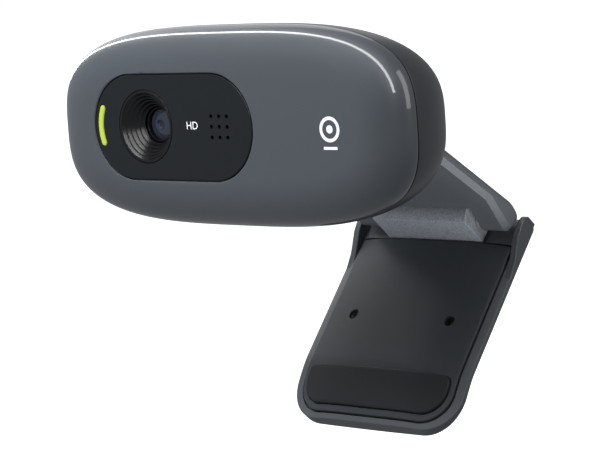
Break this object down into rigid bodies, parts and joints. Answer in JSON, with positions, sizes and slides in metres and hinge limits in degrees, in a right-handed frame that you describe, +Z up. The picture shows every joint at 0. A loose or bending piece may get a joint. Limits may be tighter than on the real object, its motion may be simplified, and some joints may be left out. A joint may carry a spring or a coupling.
{
  "type": "webcam",
  "caption": "Clip-on webcam with an oval camera head that tilts on a flat arm, and a hinged, padded leg that hooks over a screen.",
  "frame": {"origin": "middle of the arm's flat underside, where the webcam rests on the top edge of a screen", "axes": "+X to the right seen from the front, +Y away from the viewer, +Z up; the lens looks along -Y with the head level"},
  "size_m": [0.0728, 0.0599, 0.0711],
  "materials": {
    "front_shell": "smooth slate grey, glossy",
    "rear_shell": "satin dark grey",
    "panel": "near-black satin",
    "hood": "black, finely ridged",
    "glass": "coated lens glass",
    "lamp": "lit yellow-green light guide",
    "clip": "satin charcoal",
    "grain": "fine leather-like grain",
    "rubber": "soft matte rubber",
    "circuit_board": "green solder mask",
    "chip": "moulded black resin",
    "nylon": "natural nylon",
    "steel": "plated steel"
  },
  "bodies": {
    "arm": {"arm_base": "clip", "tilt_pin": "steel", "hinge_pin": "steel", "tilt_washer_left": "nylon", "tilt_washer_right": "nylon", "hinge_washer_left": "nylon", "hinge_washer_right": "nylon"},
    "head": {"front_shell": "front_shell", "rear_shell": "rear_shell", "face_panel": "panel", "lens_hood": "hood", "led_window": "lamp", "lens_barrel": "hood", "front_lens": "glass", "lens_stop": "chip", "rear_lens": "glass", "lens_holder": "chip", "ir_filter": "glass", "image_sensor": "chip", "main_board": "circuit_board", "led_chip": "nylon", "light_pipe": "glass", "processor_chip": "chip", "cable_connector": "nylon", "mic_boot": "rubber", "microphone": "steel", "board_screw_1": "steel", "board_screw_2": "steel", "cable_gland": "rubber", "shell_screw_1": "steel", "shell_screw_2": "steel", "tilt_bracket": "clip", "bracket_screw_1": "steel", "bracket_screw_2": "steel"},
    "leg": {"leg_back": "clip", "leg_plate": "clip", "leg_pad": "rubber", "hinge_knuckle": "grain", "plate_screw_1": "steel", "plate_screw_2": "steel", "knuckle_screw_1": "steel", "knuckle_screw_2": "steel"}
  },
  "joints": [
    {"name": "head_tilt", "type": "hinge", "parent": "arm", "child": "head", "pos_m": [0, -0.01554, 0.01184], "axis": [1, 0, 0], "range_deg": [-35, 20]},
    {"name": "leg_fold", "type": "hinge", "parent": "arm", "child": "leg", "pos_m": [0, 0.01406, -0.00956], "axis": [1, 0, 0], "range_deg": [-54, 45]}
  ]
}
